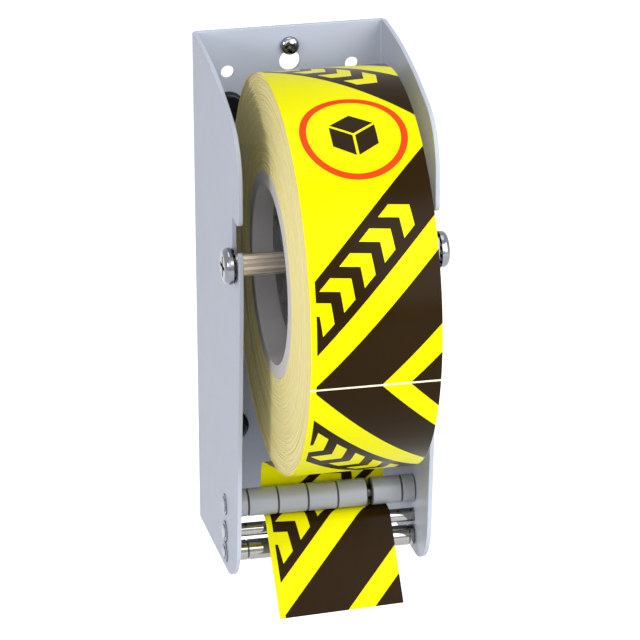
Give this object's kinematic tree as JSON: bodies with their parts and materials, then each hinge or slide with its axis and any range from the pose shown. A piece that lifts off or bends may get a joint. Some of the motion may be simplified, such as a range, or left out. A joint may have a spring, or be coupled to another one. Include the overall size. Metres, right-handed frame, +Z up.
{
  "type": "label roll holder",
  "caption": "Wall bracket with open side walls that carries a roll of labels on a lift-out axle and leads the strip round sleeved guide rollers.",
  "frame": {"origin": "On the wall plane, midway between the two upper screw holes of the back plate.", "axes": "+X to the right seen from the front, -Y out of the wall towards the viewer, +Z up."},
  "size_m": [0.0966, 0.1804, 0.245],
  "materials": {
    "bracket_paint": "pale blue-grey powder coat, low gloss",
    "zinc_steel": "bright zinc plate",
    "axle_steel": "ground steel",
    "dark_steel": "black oxide",
    "bright_chrome": "polished chrome plate",
    "black_rubber": "smooth black rubber",
    "hub_plastic": "grey moulded plastic",
    "sleeve_plastic": "grey nylon, turned",
    "core_board": "grey spiral-wound board",
    "label_paper": "glossy printed label stock"
  },
  "bodies": {
    "bracket": {"bracket": "bracket_paint", "wall_screw": "zinc_steel", "plug_lower_left": "black_rubber", "plug_lower_right": "black_rubber", "plug_upper_left": "black_rubber", "plug_upper_right": "black_rubber", "label_web": "label_paper", "sleeve_rod": "dark_steel", "sleeve_rod_clip_left": "dark_steel", "sleeve_rod_clip_right": "dark_steel", "roller_shaft": "axle_steel", "roller_shaft_clip_left": "dark_steel", "roller_shaft_clip_right": "dark_steel", "roller_spacer_left": "bright_chrome", "roller_spacer_right": "bright_chrome"},
    "axle": {"axle_rod": "axle_steel", "axle_screw_left": "zinc_steel", "axle_screw_right": "zinc_steel", "lock_washer_left": "dark_steel", "lock_washer_right": "dark_steel"},
    "roll": {"label_roll": "label_paper", "roll_core": "core_board"},
    "hub": {"core_hub_left": "hub_plastic", "core_hub_right": "hub_plastic"},
    "guide_rod": {"guide_rod": "bright_chrome", "guide_rod_clip_left": "dark_steel", "guide_rod_clip_right": "dark_steel"},
    "roller": {"roller_tube": "bright_chrome"},
    "sleeve_1": {"sleeve_1": "sleeve_plastic"},
    "sleeve_2": {"sleeve_2": "sleeve_plastic"},
    "sleeve_3": {"sleeve_3": "sleeve_plastic"},
    "sleeve_4": {"sleeve_4": "sleeve_plastic"},
    "sleeve_5": {"sleeve_5": "sleeve_plastic"},
    "sleeve_6": {"sleeve_6": "sleeve_plastic"},
    "sleeve_7": {"sleeve_7": "sleeve_plastic"}
  },
  "joints": [
    {"name": "axle_lift", "type": "slide", "parent": "bracket", "child": "axle", "axis": [0, 0, 1], "range_m": [0, 0.0138]},
    {"name": "roll_spin", "type": "hinge", "parent": "axle", "child": "roll", "pos_m": [0, -0.0954, -0.0589], "axis": [1, 0, 0], "continuous": true},
    {"name": "hub_spin", "type": "hinge", "parent": "axle", "child": "hub", "pos_m": [0, -0.0954, -0.05355], "axis": [1, 0, 0], "continuous": true},
    {"name": "guide_rod_spin", "type": "hinge", "parent": "bracket", "child": "guide_rod", "pos_m": [0, -0.0653, -0.1889], "axis": [1, 0, 0], "continuous": true},
    {"name": "roller_spin", "type": "hinge", "parent": "bracket", "child": "roller", "pos_m": [0, -0.0653, -0.1986], "axis": [1, 0, 0], "continuous": true},
    {"name": "sleeve_1_spin", "type": "hinge", "parent": "bracket", "child": "sleeve_1", "pos_m": [0, -0.0653, -0.176], "axis": [1, 0, 0], "continuous": true},
    {"name": "sleeve_2_spin", "type": "hinge", "parent": "bracket", "child": "sleeve_2", "pos_m": [0, -0.0653, -0.176], "axis": [1, 0, 0], "continuous": true},
    {"name": "sleeve_3_spin", "type": "hinge", "parent": "bracket", "child": "sleeve_3", "pos_m": [0, -0.0653, -0.176], "axis": [1, 0, 0], "continuous": true},
    {"name": "sleeve_4_spin", "type": "hinge", "parent": "bracket", "child": "sleeve_4", "pos_m": [0, -0.0653, -0.176], "axis": [1, 0, 0], "continuous": true},
    {"name": "sleeve_5_spin", "type": "hinge", "parent": "bracket", "child": "sleeve_5", "pos_m": [0, -0.0653, -0.176], "axis": [1, 0, 0], "continuous": true},
    {"name": "sleeve_6_spin", "type": "hinge", "parent": "bracket", "child": "sleeve_6", "pos_m": [0, -0.0653, -0.176], "axis": [1, 0, 0], "continuous": true},
    {"name": "sleeve_7_spin", "type": "hinge", "parent": "bracket", "child": "sleeve_7", "pos_m": [0, -0.0653, -0.176], "axis": [1, 0, 0], "continuous": true}
  ],
  "couplings": [
    {"joint": "hub_spin", "follows": "roll_spin", "ratio": 1.1723}
  ]
}
